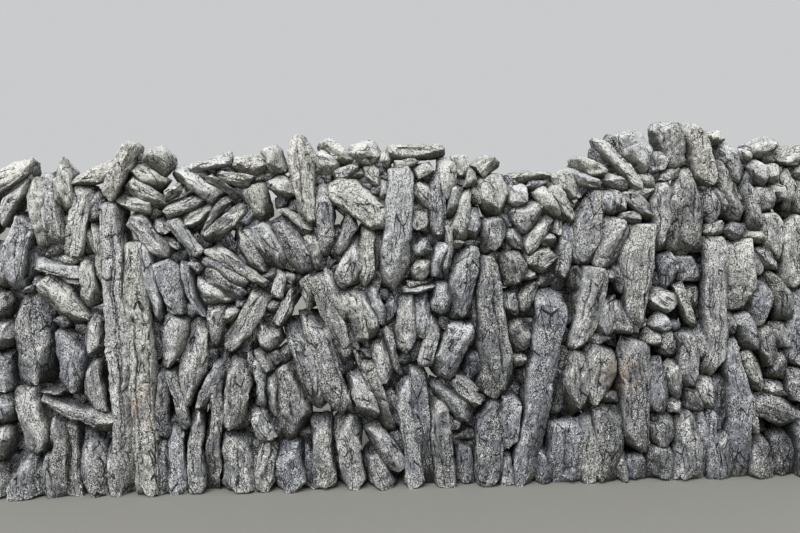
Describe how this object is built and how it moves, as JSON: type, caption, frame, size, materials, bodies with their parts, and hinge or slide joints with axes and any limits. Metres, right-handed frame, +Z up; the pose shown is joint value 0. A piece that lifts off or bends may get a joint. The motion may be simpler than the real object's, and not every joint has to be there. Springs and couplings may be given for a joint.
{
  "type": "dry stone wall",
  "caption": "Free-standing dry stone field wall of loose limestone slabs set on edge, with gaps that show daylight and a ragged cope.",
  "frame": {"origin": "centre of the wall's footprint at ground level", "axes": "+X along the wall to the right seen from its front face, +Y through the wall to its back face, +Z up"},
  "size_m": [3.6, 0.34, 1.4644],
  "materials": {
    "cope_limestone": "pale, sun-bleached and rain-washed limestone with pits and lichen spots",
    "wall_limestone": "grey weathered limestone, rough, with bedding lines and fissures",
    "dark_limestone": "darker, damp or shaded limestone of the foot and the hearting, rough, stained in places"
  },
  "bodies": {
    "root": {"split_upright": "cope_limestone", "leaning_slab": "wall_limestone", "pale_upright": "cope_limestone", "peaked_cope": "cope_limestone", "highest_cope": "cope_limestone", "leaning_block": "cope_limestone", "closing_stones_left": "wall_limestone", "closing_stones_right": "wall_limestone", "foot_stones_bay_1": "dark_limestone", "foot_stones_bay_2": "dark_limestone", "foot_stones_bay_3": "dark_limestone", "foot_stones_bay_4": "dark_limestone", "foot_stones_bay_5": "dark_limestone", "foot_stones_bay_6": "dark_limestone", "standing_stones_bay_1": "wall_limestone", "standing_stones_bay_2": "wall_limestone", "standing_stones_bay_3": "wall_limestone", "standing_stones_bay_4": "wall_limestone", "standing_stones_bay_5": "wall_limestone", "standing_stones_bay_6": "wall_limestone", "leaning_stones_bay_1": "wall_limestone", "leaning_stones_bay_2": "wall_limestone", "leaning_stones_bay_3": "wall_limestone", "leaning_stones_bay_4": "wall_limestone", "leaning_stones_bay_5": "wall_limestone", "leaning_stones_bay_6": "wall_limestone", "wedge_stones_bay_1": "wall_limestone", "wedge_stones_bay_2": "wall_limestone", "wedge_stones_bay_3": "wall_limestone", "wedge_stones_bay_4": "wall_limestone", "wedge_stones_bay_5": "wall_limestone", "wedge_stones_bay_6": "wall_limestone", "cope_stones_bay_1": "cope_limestone", "cope_stones_bay_2": "cope_limestone", "cope_stones_bay_3": "cope_limestone", "cope_stones_bay_4": "cope_limestone", "cope_stones_bay_5": "cope_limestone", "cope_stones_bay_6": "cope_limestone", "backing_stones_lower": "dark_limestone", "backing_stones_upper": "wall_limestone", "hearting_bay_1": "dark_limestone", "hearting_bay_2": "dark_limestone", "hearting_bay_3": "dark_limestone", "hearting_bay_4": "dark_limestone"}
  },
  "joints": []
}
